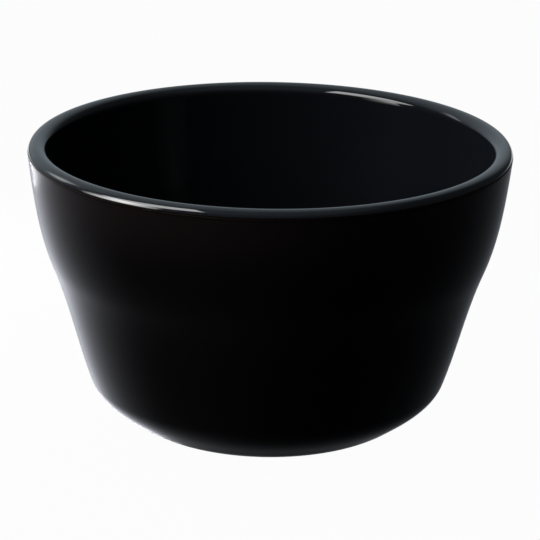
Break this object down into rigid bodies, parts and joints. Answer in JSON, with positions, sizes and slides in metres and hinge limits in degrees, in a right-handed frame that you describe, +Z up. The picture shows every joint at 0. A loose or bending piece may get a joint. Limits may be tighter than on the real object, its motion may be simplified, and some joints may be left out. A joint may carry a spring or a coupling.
{
  "type": "cupping bowl",
  "caption": "Round black ceramic coffee cupping bowl: glossy glazed inside and rolled lip, satin outside with a slight waist and a round heel, standing on a bare foot ring.",
  "frame": {"origin": "centre of the foot ring, on the plane that the bowl rests on", "axes": "+Z up along the bowl's axis of revolution; +X and +Y are alike, and the picture is taken from -Y"},
  "size_m": [0.094, 0.094, 0.0576],
  "materials": {
    "bare_stoneware": "bare fired clay, matt and finely grained",
    "gloss_black_glaze": "glossy blue-black glaze",
    "satin_black_glaze": "satin warm black glaze",
    "base_black_glaze": "satin black glaze"
  },
  "bodies": {
    "root": {"clay_body": "bare_stoneware", "liner_glaze": "gloss_black_glaze", "outer_glaze": "satin_black_glaze", "base_glaze": "base_black_glaze"}
  },
  "joints": []
}
